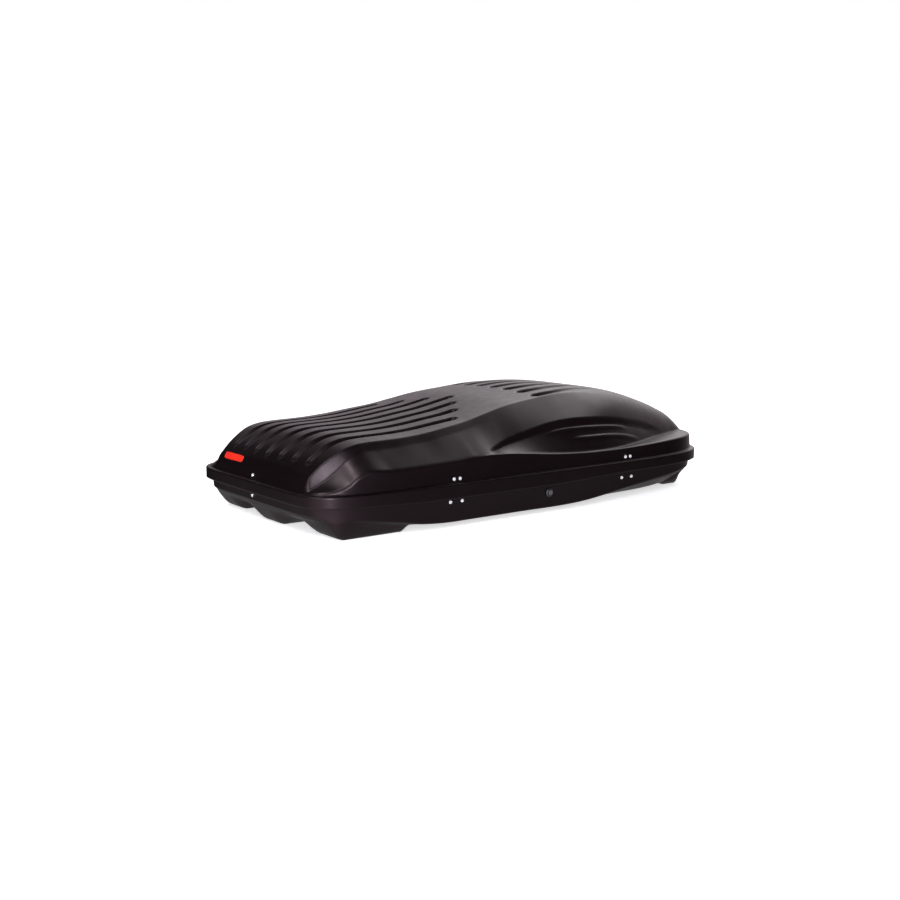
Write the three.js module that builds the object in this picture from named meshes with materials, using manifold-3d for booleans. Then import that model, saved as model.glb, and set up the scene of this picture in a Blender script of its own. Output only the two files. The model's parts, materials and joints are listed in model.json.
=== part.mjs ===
// Roof cargo box: two moulded shells, side hinges, a key lock that slides a lock rod, and two lid stays.
// Millimetres. X runs from the nose (-) to the tail (+), the lock is on the -Y side and the hinges are on
// the +Y side. Z = 0 is the plane that the moulded feet stand on.
import * as THREE from 'three';
import { mergeVertices } from 'three/addons/utils/BufferGeometryUtils.js';
import Module from 'manifold-3d';

const wasm = await Module();
wasm.setup();

// ---- Driving dimensions ----
const LENGTH = 1800;
const WIDTH = 909;
const LEDGE_Z = 150; // height of the lid's rim ledge above the ground
const WALL = 4; // thickness of both shells
const NOSE_POWER = 8.2; // how square the plan outline is at each end
const TAIL_POWER = 4.9;
const SKIRT_DEPTH = 38; // how far the lid's rim hangs below its ledge
const SKIRT_DIP = 10; // extra depth in the middle of the lock side
const FLANGE_INSET = 8; // base flange, measured in from the outline
const FLANGE_DROP = 8; // gap between the ledge and the flange
const BASE_INSET = 18;
const BELT_INSET = 14;
const FLOOR_DEPTH = 130; // underside of the floor below the ledge
const CELLS_LONG = 34; // grid cells of each shell's skin
const CELLS_WIDE = 20;

const HINGE = { y: 443, depth: 30, stations: [-420, -60, 300], opening: 50 };
const LATCH_STATIONS = { front: -377, rear: 395 };
const LATCH = { y: -412, depth: 34, bolt: 4.2, upperPitch: 24, lowerPitch: 48, upper: 14, lower: -61 };
const ROD_TRAVEL = 20;
const LOCK = { x: 23, depth: 77, throwRadius: ROD_TRAVEL / Math.SQRT2 };
const STAY = { stations: { front: -480, rear: 430 }, radius: 130, lidAngle: 52, baseAngle: 28 };
const RAIL_Y = 190;
const SEAT_X = [-350, 350]; // the two crossbar seats
const STRAP_X = [-150, 150];

// ---- Materials ----
const plastic = new THREE.MeshStandardMaterial({ color: 0x17151a, roughness: 0.55, metalness: 0 });
const innerPlastic = new THREE.MeshStandardMaterial({ color: 0x222226, roughness: 0.6, metalness: 0 });
const steel = new THREE.MeshStandardMaterial({ color: 0xb8bcc0, roughness: 0.35, metalness: 1 });
const zincSteel = new THREE.MeshStandardMaterial({ color: 0x9aa0a6, roughness: 0.5, metalness: 0.9 });
const blackSteel = new THREE.MeshStandardMaterial({ color: 0x1b1b1d, roughness: 0.4, metalness: 0.5 });
const redPlastic = new THREE.MeshStandardMaterial({ color: 0xd23a2a, roughness: 0.35, metalness: 0 });
const webbing = new THREE.MeshStandardMaterial({ color: 0x2a2a2c, roughness: 0.9, metalness: 0 });

const model = new THREE.Group();
const up = (depth) => LEDGE_Z + depth; // a height given from the ledge, in the part's frame

function addPart(name, geometry, material) {
  const mesh = new THREE.Mesh(geometry, material);
  mesh.name = name;
  model.add(mesh);
}

// ---- Solids ----
function toSolid(geometry) {
  const bare = geometry.index ? geometry.toNonIndexed() : geometry.clone();
  bare.deleteAttribute('normal');
  bare.deleteAttribute('uv');
  const merged = mergeVertices(bare, 1e-4);
  const vertProperties = new Float32Array(merged.attributes.position.array);
  const triVerts = new Uint32Array(merged.index.array);
  return new wasm.Manifold(new wasm.Mesh({ numProp: 3, vertProperties, triVerts }));
}

function toGeometry(solid) {
  const mesh = solid.getMesh();
  const geometry = new THREE.BufferGeometry();
  geometry.setAttribute('position', new THREE.BufferAttribute(new Float32Array(mesh.vertProperties), 3));
  geometry.setIndex(new THREE.BufferAttribute(new Uint32Array(mesh.triVerts), 1));
  geometry.computeVertexNormals();
  return geometry;
}

const join = (...pieces) => toGeometry(pieces.map(toSolid).reduce((sum, piece) => sum.add(piece)));

function cut(body, ...tools) {
  return toGeometry(tools.map(toSolid).reduce((rest, tool) => rest.subtract(tool), toSolid(body)));
}

function box(x, y, z) { // each argument is [low, high]
  const size = [x, y, z].map(([low, high]) => high - low);
  const middle = [x, y, z].map(([low, high]) => (low + high) / 2);
  return new THREE.BoxGeometry(...size).translate(...middle);
}

// A turned piece: a closed profile of [radius, distance] points, along X or Y from the given point.
function turned(profile, axis, from, segments = 20) {
  const points = profile.map(([radius, distance]) => new THREE.Vector2(radius, distance));
  const geometry = new THREE.LatheGeometry(points, segments);
  if (axis === 'x') geometry.rotateZ(-Math.PI / 2);
  return geometry.translate(...from);
}

function cylinder(axis, [start, end], [across, height], radius, segments = 20) {
  const from = axis === 'x' ? [start, across, height] : [across, start, height];
  const span = end - start;
  return turned([[0, 0], [radius, 0], [radius, span], [0, span]], axis, from, segments);
}

// A flat plate drawn in Y and Z, with its thickness along X.
function plateAcrossX(shape, [start, end], curveSegments = 8) {
  const settings = { depth: end - start, bevelEnabled: false, curveSegments };
  const basis = new THREE.Matrix4().makeBasis(
    new THREE.Vector3(0, 1, 0), new THREE.Vector3(0, 0, 1), new THREE.Vector3(1, 0, 0));
  return new THREE.ExtrudeGeometry(shape, settings).applyMatrix4(basis).translate(start, 0, 0);
}

// A flat plate drawn in X and Z, with its thickness along Y.
function plateAcrossY(shape, [start, end], curveSegments = 8) {
  const settings = { depth: end - start, bevelEnabled: false, curveSegments };
  const basis = new THREE.Matrix4().makeBasis(
    new THREE.Vector3(1, 0, 0), new THREE.Vector3(0, 0, 1), new THREE.Vector3(0, -1, 0));
  return new THREE.ExtrudeGeometry(shape, settings).applyMatrix4(basis).translate(0, end, 0);
}

// The outline of a bar with round ends, from one centre to the other.
function roundedBar([u0, v0], [u1, v1], radius) {
  const along = Math.atan2(v1 - v0, u1 - u0);
  const shape = new THREE.Shape();
  shape.absarc(u1, v1, radius, along - Math.PI / 2, along + Math.PI / 2, false);
  shape.absarc(u0, v0, radius, along + Math.PI / 2, along + Math.PI * 1.5, false);
  return shape;
}

function polygon(points) {
  return new THREE.Shape(points.map(([u, v]) => new THREE.Vector2(u, v)));
}

// ---- Shell surfaces ----
function ease(start, end, value) {
  const share = Math.min(1, Math.max(0, (value - start) / (end - start)));
  return share * share * (3 - 2 * share);
}

const mix = (a, b, share) => a + (b - a) * share;

// A smooth curve through hand-set [x, z] points.
function curveThrough(points) {
  const slope = (i) => {
    const [before, after] = [points[Math.max(0, i - 1)], points[Math.min(points.length - 1, i + 1)]];
    return (after[1] - before[1]) / (after[0] - before[0]);
  };
  return (x) => {
    if (x <= points[0][0]) return points[0][1];
    if (x >= points.at(-1)[0]) return points.at(-1)[1];
    const i = points.findIndex((point) => point[0] > x) - 1;
    const [[x0, z0], [x1, z1]] = [points[i], points[i + 1]];
    const span = x1 - x0;
    const t = (x - x0) / span;
    return z0 * (1 + 2 * t) * (1 - t) ** 2 + z1 * t * t * (3 - 2 * t)
      + span * (slope(i) * t * (1 - t) ** 2 - slope(i + 1) * t * t * (1 - t));
  };
}

const crownLine = curveThrough([[-886, 1], [-880, 8], [-870, 28], [-855, 57], [-838, 75], [-815, 96],
  [-776, 122], [-736, 143], [-696, 154], [-640, 159], [-600, 160], [-500, 163], [-437.5, 167.5],
  [-315, 182.5], [-231, 194], [-144, 211], [-56, 228], [73, 243], [193, 254], [300, 255], [420, 246],
  [560, 222], [694, 184], [800, 145], [845, 122], [866, 100], [880, 70]]);
const hoodEdge = curveThrough([[-886, 302], [-830, 310], [-760, 326], [-660, 330], [-350, 322],
  [-150, 295], [0, 275], [200, 262]]);
const chamferFoot = curveThrough([[-886, 1], [-869, 7], [-825, 30], [-770, 71], [-742, 95],
  [-695, 115.5], [-630, 120.5], [-580, 122], [-512, 125.6], [-443, 129.6], [-387, 137.6],
  [-337, 143.6], [-200, 155], [0, 175]]);

// The outer edge of the side face: the top of the belt wall in front, the pocket's arc behind.
const arcLine = curveThrough([[-300, 434], [-250, 428], [-200, 404], [-140, 385], [-30, 375], [85, 370],
  [217, 372], [320, 365], [460, 345], [600, 315], [720, 290], [880, 240]]);
const arcHeight = curveThrough([[-886, 1], [-800, 2], [-775, 14], [-745, 40], [-710, 59], [-617, 64],
  [-481, 69], [-320, 77], [-250, 83], [-200, 96], [-140, 111], [-30, 135], [85, 155], [217, 163],
  [317, 158], [458, 141], [591, 104], [681, 75], [880, 56]]);
const shelfLine = curveThrough([[-886, 1], [-800, 2], [-775, 14], [-745, 40], [-710, 59], [-617, 64],
  [-481, 69], [-320, 77], [-240, 80], [-160, 77], [-60, 68], [60, 56], [200, 48], [330, 46],
  [460, 48], [660, 53], [880, 56]]);
const domeHalf = curveThrough([[100, 430], [230, 428], [330, 418], [430, 397], [530, 366], [640, 328],
  [780, 280], [870, 245], [885, 235]]);

const HOOD_CROWN = 13.3; // how far the hood falls from its middle to its edge
const CHAMFER_RUN = 22;
const DOME_POWER = 5.2; // how square the dome's section is
const POCKET_STEP = 16; // depth of the side pocket below its arc
const SIDE_FOOT_Y = 437.5; // the furthest out that the side face reaches

const footLine = (x) => Math.max(arcLine(x) + 2, Math.min(domeHalf(x), SIDE_FOOT_Y));

// The front's section: crowned hood, chamfer, side face, and the pocket's wall below the arc.
function facetedHeight(x, across) {
  const [edgeY, arcY] = [hoodEdge(x), arcLine(x)];
  const edge = crownLine(x) - HOOD_CROWN;
  const level = mix(edge, arcHeight(x), CHAMFER_RUN / (arcY - edgeY));
  const chamfer = mix(chamferFoot(x), level, ease(-360, -140, x));
  const corners = [[edgeY, edge], [edgeY + CHAMFER_RUN, chamfer], [arcY, arcHeight(x)],
    [footLine(x), shelfLine(x)]];
  let height = crownLine(x) - HOOD_CROWN * Math.min(1, across / edgeY) ** 2;
  corners.slice(1).forEach(([y1, z1], i) => {
    const [y0, z0] = corners[i];
    height += (z1 - z0) * Math.min(1, Math.max(0, (across - y0) / (y1 - y0)));
  });
  return height;
}

function domedHeight(x, across) {
  const shelf = shelfLine(x);
  const share = Math.min(1, across / domeHalf(x));
  return shelf + Math.max(0, crownLine(x) - shelf) * (1 - share ** DOME_POWER);
}

function pocketDepth(x, across) {
  const arcY = arcLine(x);
  const share = Math.min(1, Math.max(0, (across - arcY) / (footLine(x) - arcY)));
  const along = ease(-235, -185, x) * (1 - ease(580, 720, x));
  return POCKET_STEP * along * ease(0, 5, across - arcY) * (1 - share);
}

// Height of the lid's outer surface above the ledge.
function lidHeight(x, y) {
  const across = Math.abs(y);
  const surface = mix(facetedHeight(x, across), domedHeight(x, across), ease(120, 480, x));
  return surface - pocketDepth(x, across);
}

const undersideEdge = curveThrough([[-880, -72], [-800, -78], [-710, -90], [-600, -106], [-500, -123],
  [-400, -130], [-320, -130], [-130, -130], [200, -126], [410, -101], [650, -80], [880, -66]]);
const FRONT_RAMP = { lead: 85, trail: 22 }; // how a foot eases in and out along the box
const REAR_RAMP = { lead: 30, trail: 35 };
const FEET = [
  { y: 0, half: 45, flank: 85, start: -795, end: -560, ramp: FRONT_RAMP },
  { y: -315, half: 55, flank: 50, start: -765, end: -560, ramp: FRONT_RAMP },
  { y: 315, half: 55, flank: 50, start: -775, end: -560, ramp: FRONT_RAMP },
  { y: -220, half: 55, flank: 35, start: 750, end: 810, ramp: REAR_RAMP },
  { y: 220, half: 55, flank: 35, start: 750, end: 810, ramp: REAR_RAMP },
];

// 1 on a foot's flat, easing to 0 across a margin around it.
function footShare(x, y, { y: middle, half, flank, start, end, ramp }) {
  const along = ease(start - ramp.lead, start, x) * (1 - ease(end, end + ramp.trail, x));
  return along * (1 - ease(half, half + flank, Math.abs(y - middle)));
}

// Height of the base's outer surface above the ledge, always negative.
function undersideHeight(x, y, depthInside) {
  const rise = FLOOR_DEPTH + undersideEdge(x);
  const lift = rise * (1 - ease(10, 90, depthInside));
  const floor = -FLOOR_DEPTH + lift + 30 * (1 - ease(-880, -700, x)) * ease(20, 90, depthInside);
  return mix(floor, -LEDGE_Z, Math.max(...FEET.map((foot) => footShare(x, y, foot))));
}

// ---- Shell meshes ----
// The plan outline, moved in by an inset: s runs from nose to tail and t across, both from -1 to 1.
function planPoint(s, t, inset) {
  const power = s < 0 ? NOSE_POWER : TAIL_POWER;
  const reach = Math.max(Math.abs(s), Math.abs(t));
  const norm = (Math.abs(s) ** power + Math.abs(t) ** power) ** (1 / power);
  const scale = norm > 0 ? reach / norm : 0;
  return [s * scale * (LENGTH / 2 - inset), t * scale * (WIDTH / 2 - inset)];
}

// How far inside the outline a grid point lies, by its place in the unit square.
function depthInside(s, t, inset) {
  const nearSide = (1 - Math.abs(t)) * WIDTH / 2;
  const nearEnd = (1 - Math.abs(s)) * LENGTH / 2;
  return inset + Math.min(nearSide, nearEnd);
}

function boundarySteps() {
  const steps = [];
  for (let i = 0; i < CELLS_LONG; i += 1) steps.push([i, 0]);
  for (let j = 0; j < CELLS_WIDE; j += 1) steps.push([CELLS_LONG, j]);
  for (let i = CELLS_LONG; i > 0; i -= 1) steps.push([i, CELLS_WIDE]);
  for (let j = CELLS_WIDE; j > 0; j -= 1) steps.push([0, j]);
  return steps;
}

const toSquare = ([i, j]) => [(2 * i) / CELLS_LONG - 1, (2 * j) / CELLS_WIDE - 1];

// One skin of a shell, facing up: rings from the rim inwards, then a grid that fills the last ring.
function skin(rings, gridInset, height) {
  const points = [];
  const faces = [];
  const border = boundarySteps();
  const count = border.length;
  for (const ring of rings) {
    for (const step of border) {
      const [s, t] = toSquare(step);
      const [x, y] = planPoint(s, t, ring.inset);
      points.push([x, y, up(ring.height(x, y, ring.inset))]);
    }
  }
  const gridStart = points.length;
  const gridIndex = (i, j) => gridStart + i * (CELLS_WIDE + 1) + j;
  for (let i = 0; i <= CELLS_LONG; i += 1) {
    for (let j = 0; j <= CELLS_WIDE; j += 1) {
      const [s, t] = toSquare([i, j]);
      const [x, y] = planPoint(s, t, gridInset);
      points.push([x, y, up(height(x, y, depthInside(s, t, gridInset)))]);
    }
  }
  const ringIndex = (ring, k) => (ring < rings.length
    ? ring * count + (k % count) : gridIndex(...border[k % count]));
  for (let ring = 0; ring < rings.length; ring += 1) {
    for (let k = 0; k < count; k += 1) {
      const [a, b] = [ringIndex(ring, k), ringIndex(ring, k + 1)];
      const [c, d] = [ringIndex(ring + 1, k + 1), ringIndex(ring + 1, k)];
      faces.push([a, b, c], [a, c, d]);
    }
  }
  for (let i = 0; i < CELLS_LONG; i += 1) {
    for (let j = 0; j < CELLS_WIDE; j += 1) {
      const [a, b] = [gridIndex(i, j), gridIndex(i + 1, j)];
      const [c, d] = [gridIndex(i + 1, j + 1), gridIndex(i, j + 1)];
      if ((2 * i < CELLS_LONG) === (2 * j < CELLS_WIDE)) faces.push([a, b, c], [a, c, d]);
      else faces.push([a, b, d], [b, c, d]);
    }
  }
  return { points, faces, count };
}

// A closed shell between a skin that faces up and one that faces down, joined at their rims.
function shellGeometry(top, bottom) {
  const offset = top.points.length;
  const faces = [...top.faces, ...bottom.faces.map(([a, b, c]) => [a + offset, c + offset, b + offset])];
  for (let k = 0; k < top.count; k += 1) {
    const next = (k + 1) % top.count;
    faces.push([k, k + offset, next + offset], [k, next + offset, next]);
  }
  const geometry = new THREE.BufferGeometry();
  const positions = [...top.points, ...bottom.points].flat();
  geometry.setAttribute('position', new THREE.Float32BufferAttribute(positions, 3));
  geometry.setIndex(faces.flat());
  return geometry;
}

function skirtHeight(x, y) {
  const dip = y < 0 ? ease(-800, -420, x) * (1 - ease(0, 420, x)) * ease(0.6, 0.9, -y / (WIDTH / 2)) : 0;
  return -SKIRT_DEPTH - SKIRT_DIP * dip;
}

const FIELD_RINGS = [7, 15, 26, 40]; // rings that follow the lid's steep edge, by their depth
const FIELD_START = 56; // depth at which the grid takes over
const ceilingHeight = (x, y) => lidHeight(x, y) - WALL;

// The belt wall stops a little below the field's edge, and less where the field meets the ledge.
function beltWallTop(x, y) {
  const field = lidHeight(x, y);
  return field - Math.min(6, 0.6 * field);
}

function lidGeometry() {
  const outer = skin([
    { inset: 0, height: skirtHeight },
    { inset: 0, height: () => -3 },
    { inset: 3, height: () => 0 },
    { inset: BELT_INSET, height: () => 0 },
    { inset: BELT_INSET + 3, height: beltWallTop },
    ...FIELD_RINGS.map((depth) => ({ inset: BELT_INSET + depth, height: lidHeight })),
  ], BELT_INSET + FIELD_START, lidHeight);
  const inner = skin([
    { inset: WALL, height: skirtHeight },
    { inset: WALL, height: () => -WALL },
    { inset: BELT_INSET + WALL, height: () => -WALL },
    { inset: BELT_INSET + WALL + 3, height: (x, y) => beltWallTop(x, y) - WALL },
    ...FIELD_RINGS.map((depth) => ({ inset: BELT_INSET + WALL + depth, height: ceilingHeight })),
  ], BELT_INSET + WALL + FIELD_START, ceilingHeight);
  return shellGeometry(outer, inner);
}

const baseWallFoot = (x, y) => undersideHeight(x, y, BASE_INSET) + 10;

function baseGeometry() {
  const inner = skin([
    { inset: FLANGE_INSET, height: () => -FLANGE_DROP },
    { inset: BASE_INSET + WALL + 1, height: () => -FLANGE_DROP },
    { inset: BASE_INSET + WALL + 3, height: (x, y) => baseWallFoot(x, y) + WALL },
  ], BASE_INSET + WALL + 12, (x, y, depth) => undersideHeight(x, y, depth) + WALL);
  const outer = skin([
    { inset: FLANGE_INSET, height: () => -FLANGE_DROP - WALL },
    { inset: BASE_INSET, height: () => -FLANGE_DROP - WALL },
    { inset: BASE_INSET + 2, height: baseWallFoot },
  ], BASE_INSET + 10, undersideHeight);
  return shellGeometry(inner, outer);
}

// ---- Shells with their holes ----
const SCREW = { shank: 3, hole: 3.5, head: 6, headHeight: 3 };
const lockHeight = up(-LOCK.depth);
// The lock side of the plan outline at a place along the box, moved in by an inset.
function sideY(x, inset) {
  const power = x < 0 ? NOSE_POWER : TAIL_POWER;
  const share = Math.abs(x) / (LENGTH / 2 - inset);
  return -(WIDTH / 2 - inset) * (1 - share ** power) ** (1 / power);
}

const lidScrewY = (x) => sideY(x, BELT_INSET + 0.2);
const baseScrewY = (x) => sideY(x, BASE_INSET + 0.6);

function latchScrews() {
  return Object.entries(LATCH_STATIONS).flatMap(([place, x]) => [-1, 1].flatMap((side) => [
    { name: `lid_screw_${place}_${side < 0 ? 1 : 2}`, x: x + side * LATCH.upperPitch / 2, z: LATCH.upper,
      seat: lidScrewY(x), end: lidScrewY(x) + 16 },
    { name: `base_screw_${place}_${side < 0 ? 1 : 2}`, x: x + side * LATCH.lowerPitch / 2, z: LATCH.lower,
      seat: baseScrewY(x), end: baseScrewY(x) + 12 },
  ]));
}

const NOSE_SCREW_Y = 17;
const NOSE_TILT = THREE.MathUtils.degToRad(26); // the lid's nose leans back from upright by this much
const noseScrews = [
  { name: 'lid_screw_nose', z: LATCH.upper, seat: -877.6, tilt: NOSE_TILT, length: 14 },
  { name: 'base_screw_nose', z: -53, seat: -LENGTH / 2 + BASE_INSET + 0.6, tilt: 0, length: 12 },
];
const atNoseScrew = (geometry, { seat, tilt, z }) => geometry.rotateY(tilt)
  .translate(seat, NOSE_SCREW_Y, up(z));
const noseBore = (screw, reach) => atNoseScrew(cylinder('x', [-8, reach], [0, 0], SCREW.hole, 12), screw);

function screwHoles(inLid) {
  const side = latchScrews().filter((screw) => screw.name.startsWith('lid') === inLid)
    .map((screw) => cylinder('y', [screw.seat - 8, screw.end], [screw.x, up(screw.z)], SCREW.hole, 12));
  const nose = noseScrews.filter((screw) => screw.name.startsWith('lid') === inLid)
    .map((screw) => noseBore(screw, 12));
  return [...side, ...nose];
}

const SLOT = { length: 60, width: 8 };
const floorSlots = SEAT_X.flatMap((x) => [-RAIL_Y, RAIL_Y].map((y) => box(
  [x - SLOT.length / 2, x + SLOT.length / 2], [y - SLOT.width / 2, y + SLOT.width / 2],
  [up(-FLOOR_DEPTH - 5), up(-FLOOR_DEPTH + 40)])));

const lockHole = cylinder('y', [-445, -420], [LOCK.x, lockHeight], 12.6, 24);
addPart('lid_shell', cut(lidGeometry(), ...screwHoles(true)), plastic);
addPart('base_shell', cut(baseGeometry(), ...screwHoles(false), ...floorSlots, lockHole), plastic);

// ---- Screws ----
function screwProfile(length) {
  const { head, headHeight, shank } = SCREW;
  return [[0, -headHeight], [head * 0.6, -headHeight * 0.85], [head, -0.8], [head, -0.4], [shank, -0.4],
    [shank, length], [0, length]];
}

for (const screw of latchScrews()) {
  const from = [screw.x, screw.seat, up(screw.z)];
  addPart(screw.name, turned(screwProfile(screw.end - screw.seat), 'y', from, 12), steel);
}
for (const screw of noseScrews) {
  const upright = turned(screwProfile(screw.length), 'x', [0, 0, 0], 12);
  addPart(screw.name, atNoseScrew(upright, screw), steel);
}

// ---- Latches: a striker on the lid drops between two cheeks on the base ----
for (const [place, x] of Object.entries(LATCH_STATIONS)) {
  const bore = (radius, span) => cylinder('x', span, [LATCH.y, up(-LATCH.depth)], radius);
  const screwBores = (height, pitch) => [-1, 1].map((side) => cylinder('y', [-445, -405],
    [x + side * pitch / 2, up(height)], SCREW.hole, 12));
  const striker = join(
    box([x - 24, x + 24], [sideY(x, 21), sideY(x, 21) + 8], [up(1), up(28)]),
    box([x - 2.5, x + 2.5], [-428.5, -400], [up(-46), up(10)]));
  addPart(`striker_${place}`,
    cut(striker, bore(7, [x - 10, x + 10]), ...screwBores(LATCH.upper, LATCH.upperPitch)), zincSteel);
  const back = sideY(Math.abs(x) + 40, 25.5);
  const housing = join(
    box([x - 40, x + 40], [back, back + 4], [up(-82), up(-50)]),
    box([x - 16, x - 11], [back, -399], [up(-56), up(-18)]),
    box([x + 9, x + 14], [back, -399], [up(-56), up(-18)]));
  addPart(`latch_housing_${place}`,
    cut(housing, bore(5, [x - 20, x + 20]), ...screwBores(LATCH.lower, LATCH.lowerPitch)), innerPlastic);
}

// ---- Nose guide: a tongue on the lid drops into a pocket on the base ----
const acrossNose = (half) => [NOSE_SCREW_Y - half, NOSE_SCREW_Y + half];
const TONGUE = { half: 10, front: -866, back: -862, tip: -42 };
const tongueHead = polygon([[-877.2, 2.5], [-874.2, 13], [-870, 21], [-861, 21], [-861, 2.5]]
  .map(([x, z]) => [x, up(z)]));
addPart('nose_tongue', cut(join(
  plateAcrossY(tongueHead, acrossNose(18)),
  box([TONGUE.front, TONGUE.back], acrossNose(TONGUE.half), [up(TONGUE.tip), up(6)])),
noseBore(noseScrews[0], 30)), innerPlastic);
const POCKET = { wall: 4, play: 3, top: -22, floor: -50 };
addPart('nose_pocket', cut(join(
  box([-874.5, -870.5], acrossNose(24), [up(-60), up(POCKET.top)]),
  box([-872, -855], acrossNose(TONGUE.half + POCKET.play + POCKET.wall), [up(-44), up(POCKET.top)])),
box([TONGUE.front - POCKET.play, TONGUE.back + POCKET.play], acrossNose(TONGUE.half + POCKET.play),
  [up(POCKET.floor), up(-15)]),
noseBore(noseScrews[1], 30)), innerPlastic);

// ---- Key lock ----
const lockSeat = baseScrewY(LOCK.x);
const lockAt = (y) => [LOCK.x, y, lockHeight];
addPart('lock_housing', turned([[9.2, -6.2], [13, -6.2], [15.5, -3.5], [15.5, -0.4], [12, -0.4], [12, 22],
  [9.2, 22], [9.2, -6.2]], 'y', lockAt(lockSeat), 24), innerPlastic);
const cylinderEnd = lockSeat + 30;
addPart('lock_cylinder', cut(
  cylinder('y', [lockSeat - 9, cylinderEnd], [LOCK.x, lockHeight], 8.7, 24),
  box([LOCK.x - 0.8, LOCK.x + 0.8], [lockSeat - 12, lockSeat + 2], [lockHeight - 4.5, lockHeight + 4.5]),
  cylinder('y', [cylinderEnd - 10, cylinderEnd + 1], [LOCK.x, lockHeight], 2.7, 12)), steel);
addPart('lock_nut', cut(
  cylinder('y', [lockSeat + 7, lockSeat + 13], [LOCK.x, lockHeight], 18, 6),
  cylinder('y', [lockSeat, lockSeat + 20], [LOCK.x, lockHeight], 12.4, 24)), zincSteel);

const camPin = [LOCK.x - ROD_TRAVEL / 2, lockHeight + ROD_TRAVEL / 2];
const camFront = cylinderEnd + 0.3;
addPart('lock_cam', cut(join(
  plateAcrossY(roundedBar([LOCK.x, lockHeight], camPin, 7), [camFront, camFront + 3]),
  cylinder('y', [camFront + 1, camFront + 13.5], camPin, 2.5, 12)),
cylinder('y', [camFront - 1, camFront + 5], [LOCK.x, lockHeight], 2.7, 12)), zincSteel);
addPart('cam_screw', turned([[0, -9], [2.2, -9], [2.2, 3.3], [5, 3.3], [4.2, 5.4], [0, 5.8]], 'y',
  lockAt(camFront), 12), steel);

// ---- Lock rod with a bolt at each latch ----
const ROD = { front: -397, thickness: 4, half: 6, boltTip: -6, boltBack: -60 };
const rodY = [ROD.front, ROD.front + ROD.thickness];
const rodZ = up(-LATCH.depth);
const bolts = Object.values(LATCH_STATIONS).flatMap((x) => [
  cylinder('x', [x + ROD.boltBack + 1, x + ROD.boltTip - 2], [LATCH.y, rodZ], LATCH.bolt, 12),
  box([x + ROD.boltBack, x + ROD.boltBack + 14], [LATCH.y - 5, ROD.front + 2], [rodZ - 6, rodZ + 6]),
]);
addPart('lock_rod', cut(join(
  box([LATCH_STATIONS.front + ROD.boltBack, LATCH_STATIONS.rear + ROD.boltBack + 14], rodY,
    [rodZ - ROD.half, rodZ + ROD.half]),
  box([camPin[0] - 12, camPin[0] + 12], rodY, [camPin[1] - 10, rodZ]),
  ...bolts),
plateAcrossY(roundedBar([camPin[0], camPin[1]], [camPin[0], camPin[1] + 4.5], 3.8),
  [ROD.front - 2, ROD.front + 6])), zincSteel);

// ---- Side hinges ----
const hingeZ = up(-HINGE.depth);
HINGE.stations.forEach((x, index) => {
  const place = ['front', 'middle', 'rear'][index];
  const knuckle = (span) => cylinder('x', span, [HINGE.y, hingeZ], 5, 16);
  const bore = cylinder('x', [x - 50, x + 50], [HINGE.y, hingeZ], 2.5, 16);
  addPart(`hinge_base_leaf_${place}`, cut(join(
    box([x - 35, x + 35], [436.9, 439], [hingeZ - 32, hingeZ + 2]),
    knuckle([x - 35, x - 12]), knuckle([x + 12, x + 35])),
  box([x - 12, x + 12], [430, 450], [hingeZ - 6, hingeZ + 10]), bore), blackSteel);
  addPart(`hinge_lid_leaf_${place}`, cut(join(
    box([x - 35, x + 35], [447.6, 449.4], [hingeZ + 7, hingeZ + 24]),
    box([x - 11, x + 11], [447.4, 449.4], [hingeZ, hingeZ + 9]),
    knuckle([x - 11, x + 11])), bore), blackSteel);
  addPart(`hinge_pin_${place}`, cylinder('x', [x - 36, x + 36], [HINGE.y, hingeZ], 2.1, 16), steel);
});

// ---- Lid stays: a tube on the base and a rod on the lid ----
function stayPoint(degrees) {
  const angle = THREE.MathUtils.degToRad(degrees);
  return [HINGE.y - STAY.radius * Math.cos(angle), hingeZ + STAY.radius * Math.sin(angle)];
}

const stayFoot = stayPoint(-STAY.baseAngle);
const stayHead = stayPoint(STAY.lidAngle);
const stayLength = Math.hypot(stayHead[0] - stayFoot[0], stayHead[1] - stayFoot[1]);
const stayAlong = [(stayHead[0] - stayFoot[0]) / stayLength, (stayHead[1] - stayFoot[1]) / stayLength];
const alongStay = (distance, aside = 0) => [
  stayFoot[0] + stayAlong[0] * distance - stayAlong[1] * aside,
  stayFoot[1] + stayAlong[1] * distance + stayAlong[0] * aside];
const PIN = { radius: 4, clearance: 0.5 };
const SLOT_RUN = 7; // the slotted eye at the open pivot
const TUBE = { start: 16, bore: 40, end: 128, outer: 9, inner: 5.2 };

function turnedAlongStay(profile, x, segments = 16) {
  const geometry = new THREE.LatheGeometry(profile.map(([r, d]) => new THREE.Vector2(r, d)), segments);
  geometry.rotateX(Math.atan2(stayAlong[1], stayAlong[0]));
  return geometry.translate(x, stayFoot[0], stayFoot[1]);
}

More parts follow.
